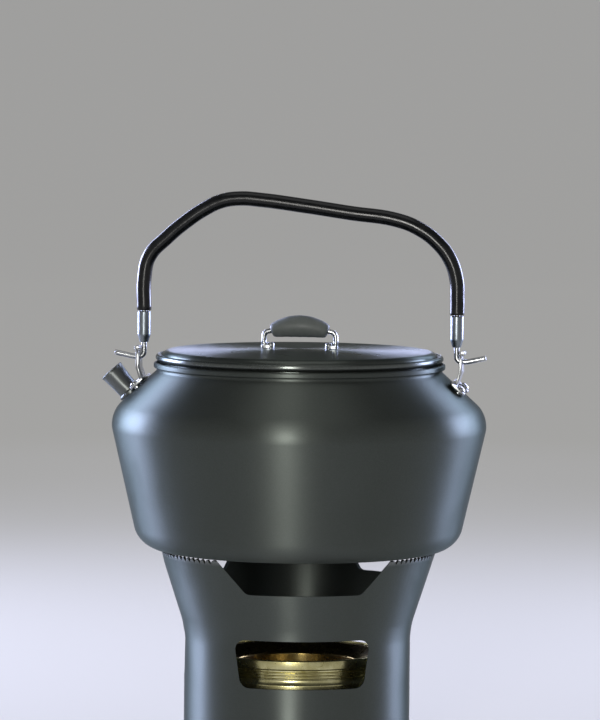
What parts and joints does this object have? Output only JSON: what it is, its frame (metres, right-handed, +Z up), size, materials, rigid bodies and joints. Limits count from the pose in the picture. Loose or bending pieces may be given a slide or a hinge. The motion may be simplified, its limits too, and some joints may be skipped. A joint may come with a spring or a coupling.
{
  "type": "portable camp stove",
  "caption": "Small spirit stove: flared windshield stand with a brass burner inside and a squat lidded kettle with a folding bail on its toothed rim.",
  "frame": {"origin": "the middle of the stand's flat foot, on the underside of the base pan", "axes": "+Z up, -X towards the kettle's spout, -Y towards the viewer of the picture, give or take 7 degrees"},
  "size_m": [0.1582, 0.1532, 0.2343],
  "materials": {
    "hard_anodised_aluminium": "hard anodised, satin, dark green grey",
    "brass": "bare brass, heat stained",
    "stainless_steel": "bright drawn wire and stamped sheet",
    "black_rubber": "smooth, glossy",
    "cotton_packing": "wound cotton"
  },
  "bodies": {
    "stand": {"windshield_shell": "hard_anodised_aluminium", "base_pan": "hard_anodised_aluminium", "base_rivet_1": "stainless_steel", "base_rivet_2": "stainless_steel", "base_rivet_3": "stainless_steel"},
    "burner": {"burner_cup": "brass", "burner_insert": "brass", "wick_ring": "cotton_packing"},
    "kettle": {"kettle_body": "hard_anodised_aluminium", "spout_tube": "hard_anodised_aluminium", "ear_spout_side": "stainless_steel", "ear_back_side": "stainless_steel", "ear_rivet_1": "stainless_steel", "ear_rivet_2": "stainless_steel", "ear_rivet_3": "stainless_steel", "ear_rivet_4": "stainless_steel"},
    "lid": {"lid_pan": "hard_anodised_aluminium", "lid_handle_wire": "stainless_steel", "lid_handle_grip": "black_rubber", "lid_rivet_1": "stainless_steel", "lid_rivet_2": "stainless_steel"},
    "bail": {"bail_wire": "stainless_steel", "bail_grip": "black_rubber", "bail_ferrule_spout_side": "stainless_steel", "bail_ferrule_back_side": "stainless_steel"}
  },
  "joints": [
    {"name": "kettle_lift", "type": "slide", "parent": "stand", "child": "kettle", "axis": [0, 0, 1], "range_m": [0, 0.06]},
    {"name": "burner_lift", "type": "slide", "parent": "stand", "child": "burner", "axis": [0, 0, 1], "range_m": [0, 0.036]},
    {"name": "lid_lift", "type": "slide", "parent": "kettle", "child": "lid", "axis": [0, 0, 1], "range_m": [0, 0.025]},
    {"name": "bail_fold", "type": "hinge", "parent": "kettle", "child": "bail", "pos_m": [0, 0, 0.166], "axis": [1, 0, 0], "range_deg": [-90, 90]}
  ]
}
